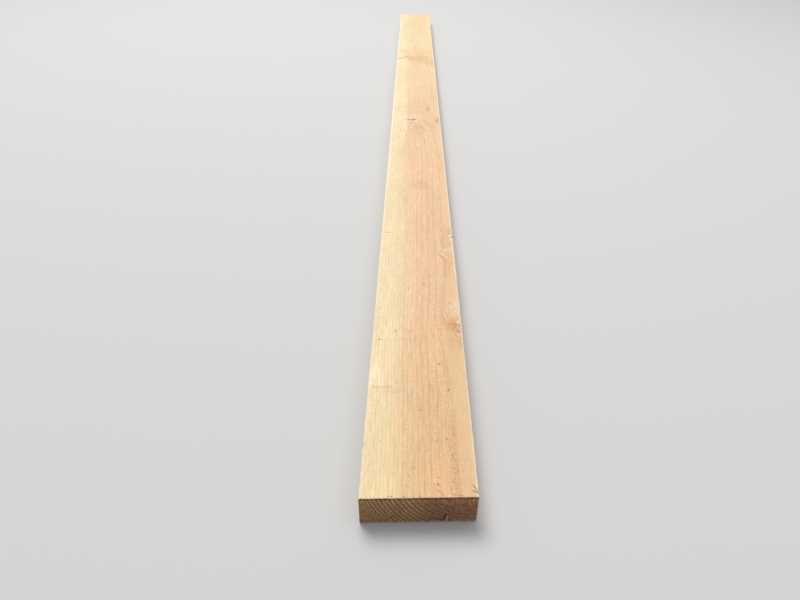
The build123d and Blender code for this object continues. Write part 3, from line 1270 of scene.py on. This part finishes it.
def fine_lightness(bench, place, figure):
    """How light the streaks, the wear, the saw and the painted light and shade of the torn flecks leave a
    place, about 1.
    """
    x = bench.split(place)[0]
    streak = bench.rise(figure["Fibre"], 0.25, 0.75, 0.0, 2.0) - 1.0
    streak *= bench.rise(figure["Strip"], 0.0, 1.0, 0.115, 0.075)
    worn = bench.noise(place * (0.22, 0.07, 0.22), detail=3.0, roughness=0.65)
    worn = bench.rise(worn, 0.3, 0.7, 0.0, 2.0) - 1.0
    streak += worn * bench.rise(x, -45.0, -66.0, 0.03, 0.06)
    streak += 1.0
    cloudy = bench.rise(figure["Cloud"], 0.30, 0.70, 0.965, 1.035)
    sawn = bench.rise(figure["Saw"], 0.30, 0.70, 0.985, 1.015)
    # painted light and shade: each torn fleck is lighter on one side and darker on the other, as if lit
    # from one side
    torn = bench.math("MINIMUM", figure["Fleck"] * 1.7, 0.09) + 1.0
    return streak * torn * (cloudy * sawn)


def corner_highlight_mask(bench, place):
    """Painted highlight: the frayed long corners, painted paler where they catch the light, more widely
    towards the far end and on the left.
    """
    x, y, z = bench.split(place)
    from_side = width / mm / 2 - abs(x)
    from_face = bench.math("MINIMUM", z, top - z)
    reach = from_side + from_face
    ragged = bench.noise(place * (0.3, 0.11, 0.3), detail=3.0, roughness=0.7)
    widening = bench.rise(y, 200.0, 1600.0) * bench.rise(x, 20.0, -20.0, 0.5, 1.7)
    reach /= widening + 1.0
    return bench.rise(reach, 3.4, 1.2) * bench.rise(ragged, 0.35, 0.62, 0.45, 1.0)


def wood_face(bench, place, growth, figure, marks):
    """The colour of the long faces."""
    y = bench.split(place)[1]
    colour = clean_wood(bench, place, growth, figure)
    colour = lay_on_patches(bench, colour, figure, marks)
    colour = draw_ring_lines(bench, y, colour, figure)
    colour = brighten(bench, colour, fine_lightness(bench, place, figure))
    # painted shade on the low side of the torn flecks
    deep = bench.rise(figure["Fleck"], -0.08, -0.20, 0.0, 0.20)
    colour = bench.blend(deep, colour, dark_colour)
    colour = bench.blend(marks["Chip"], colour, chip_colour)
    # painted highlight along the long corners
    colour = bench.blend(corner_highlight_mask(bench, place) * 0.85, colour, corner_highlight_colour)
    return bench.blend(marks["Dark"] * 0.8, colour, dark_colour)


print("dark marks keep", round(dark_colour[0] / sap_colour[0], 2), "of the sapwood's red")

# %% [markdown]
# A crosscut end shows the same rings as arcs, but open grain drinks in dirt and goes brown, redder on the
# pith's side. It is darker in a ragged band along the upper edge and has pale torn fibres at the foot,
# and painted light makes its upper part lighter. Beside the standing splinter the check's gap is painted
# as a dark line of shade.

# %% The crosscut ends
# the first colour is the near-black of the painted shade inside the check
crack_shade_colour = (0.040, 0.022, 0.017, 1)
end_colour = (0.440, 0.250, 0.112, 1)
end_line_colour = (0.070, 0.034, 0.013, 1)
end_red_colour = (0.268, 0.123, 0.060, 1)
foot_colour = (0.62, 0.43, 0.27, 1)
end_split_shade = (32.8, 1.3, 34.6, 1.4, 2.2, 1.0)    # x, y at the foot, x, y at the tip, width, strength
end_split_shade_rise = (0.0, 16.0)                    # its foot, and how much higher its tip is


def wood_end(bench, place, growth):
    """The colour of the crosscut ends."""
    x, _, z = bench.split(place)
    grain = bench.noise(bench.enlarge(place, 0.42), detail=4.0, roughness=0.75)
    patchy = bench.noise(bench.enlarge(place, 0.11), detail=2.5)
    hairs = bench.noise(place * (0.75, 0.3, 0.1), detail=2.0, roughness=0.6)
    hairy = bench.rise(x, 30.0, 55.0) * bench.rise(z, 22.0, 36.0)
    redder = bench.rise(x, -14.0, 24.0) * bench.rise(patchy, 0.35, 0.6, 0.4, 1.0)
    colour = bench.blend(redder, end_colour, end_red_colour)
    phase = bench.math("FRACT", growth["Ring"])
    late = bench.rise(phase, 0.25, 0.8) * bench.rise(phase, 1.0, 0.86)
    late *= bench.rise(x, 60.0, -30.0, 0.25, 0.75) * bench.rise(patchy, 0.3, 0.6, 0.5, 1.0)
    colour = bench.blend(late, colour, end_line_colour)
    # painted shade: the check's gap beside the splinter, drawn as a dark line
    split = bench.math("MAXIMUM", dash(bench, place, *end_split_shade, *end_split_shade_rise), 0.0)
    colour = bench.blend(split, colour, crack_shade_colour)
    fringe = bench.noise(place * (0.5, 0.2, 0.2), detail=3.0, roughness=0.7)
    lip = top - z + (fringe - 0.5) * 3.0
    lightness = bench.rise(grain, 0.27, 0.73, 0.5, 1.5) * bench.rise(patchy, 0.3, 0.7, 0.85, 1.15)
    strands = (bench.rise(hairs, 0.3, 0.7, 0.6, 1.5) - 1.0) * hairy
    lightness *= strands + 1.0
    # darker in a ragged band along the upper edge
    lightness *= bench.rise(lip, 1.6, 4.2, 0.42, 1.0)
    # painted light: the end is lighter towards its top
    lightness *= bench.rise(z, 34.0, 46.0, 0.91, 1.08)
    colour = brighten(bench, colour, lightness)
    foot = bench.rise(z, 4.2, 3.0) * bench.rise(fringe, 0.46, 0.56, 0.0, 0.8)
    return bench.blend(foot, colour, foot_colour)


def end_mask(bench, place, facing):
    """Where a surface belongs to one of the two crosscuts."""
    x, y = bench.split(place)[:2]
    from_near = y - x * (near_skew / width)
    far_middle = (length - near_skew / 2 - far_skew / 2) / mm
    from_far = bench.math("MULTIPLY_ADD", x, far_skew / width, far_middle) - y
    depth = bench.math("MINIMUM", from_near, from_far)
    ragged = bench.noise(place * (0.9, 0.2, 0.9), detail=2.0)
    turned = bench.math("MULTIPLY_ADD", ragged - 0.5, 1.3, facing)
    return bench.rise(depth, 3.0, 1.8) * bench.rise(turned, 0.5, 0.8)


print("the ends keep", round(end_colour[0] / sap_colour[0], 2), "of the sapwood's red")

# %% [markdown]
# The last step puts the two together, paints shade on the check's walls and tints the raw splinter. Rough
# sawn wood is nearly matt, so roughness is high and the shine low. Relief too fine for the net of faces
# feeds a bump, measured in millimetres like everything else here.

# %% The finish
splinter_colour = (0.70, 0.45, 0.37, 1)
splinter_shade = (0.42, 0.235, 0.185, 1)
check_walls_middle, check_walls_size = (36, 20, 8), (9, 70, 16)


def make_relief(bench, place, figure, marks):
    """The fine relief, in millimetres, that feeds the bump."""
    fuzz_noise = bench.noise(place * (0.9, 0.3, 0.9), detail=3.0, roughness=0.7)
    height = fuzz_noise * 0.25
    height += figure["Fibre"] * 0.22
    height += figure["Late"] * 0.1
    height += figure["Saw"] * 0.16
    height += figure["Fleck"] * 0.55
    return height - marks["Dark"] * 0.6


def make_wood():
    """The whole finish: colour, roughness and fine relief."""
    paint = bpy.data.materials.new("sawn_softwood")
    paint.use_nodes = True
    bench = Bench(paint.node_tree)
    shader = paint.node_tree.nodes["Principled BSDF"]
    seen = bench.wires(bench.put("ShaderNodeTexCoord"))
    place = bench.vector("MULTIPLY_ADD", seen["Object"], (1 / mm,) * 3, (0, -near_middle / mm, 0))
    growth = bench.use(growth_group, place)
    marks = bench.use(marks_group, place)
    counts = (growth[name] for name in ("Ring", "Past", "Heart ring", "Around"))
    figure = bench.use(figure_group, place, *counts, marks["Torn"])
    facing_side, facing_end = bench.split(abs(seen["Normal"]))[:2]
    face = wood_face(bench, place, growth, figure, marks)
    end = wood_end(bench, place, growth)
    colour = bench.blend(end_mask(bench, place, facing_end), face, end)
    in_check = bench.use(patch_group, place, check_walls_middle, check_walls_size)["Mask"]
    # painted shade on the walls inside the check
    check_wall_shade = bench.rise(in_check, 0.0, 0.3) * bench.rise(facing_side, 0.4, 0.8)
    colour = bench.blend(check_wall_shade * 0.9, colour, crack_shade_colour)
    torn_off = bench.wires(bench.put("ShaderNodeAttribute", attribute_name="raw_splinter"))["Fac"]
    strands = bench.noise(place * (1.5, 0.15, 0.12), detail=2.0)
    raw_wood = bench.blend(bench.rise(strands, 0.3, 0.6), splinter_shade, splinter_colour)
    colour = bench.blend(torn_off, colour, raw_wood)
    bench.feed(shader.inputs["Base Color"], colour)
    roughness = bench.math("MAXIMUM", bench.rise(figure["Fibre"], 0.2, 0.8, 0.72, 0.9), marks["Dark"])
    bench.feed(shader.inputs["Roughness"], roughness)
    shader.inputs["Specular IOR Level"].default_value = 0.3
    bump = bench.put("ShaderNodeBump")
    bump.inputs["Strength"].default_value = 0.9
    bump.inputs["Distance"].default_value = mm
    bench.feed(bump.inputs["Height"], make_relief(bench, place, figure, marks))
    bench.feed(shader.inputs["Normal"], bench.wires(bump)["Normal"])
    return paint


plank.data.materials.clear()
plank.data.materials.append(make_wood())
print("finish:", len(plank.active_material.node_tree.nodes), "nodes")

# %% [markdown]
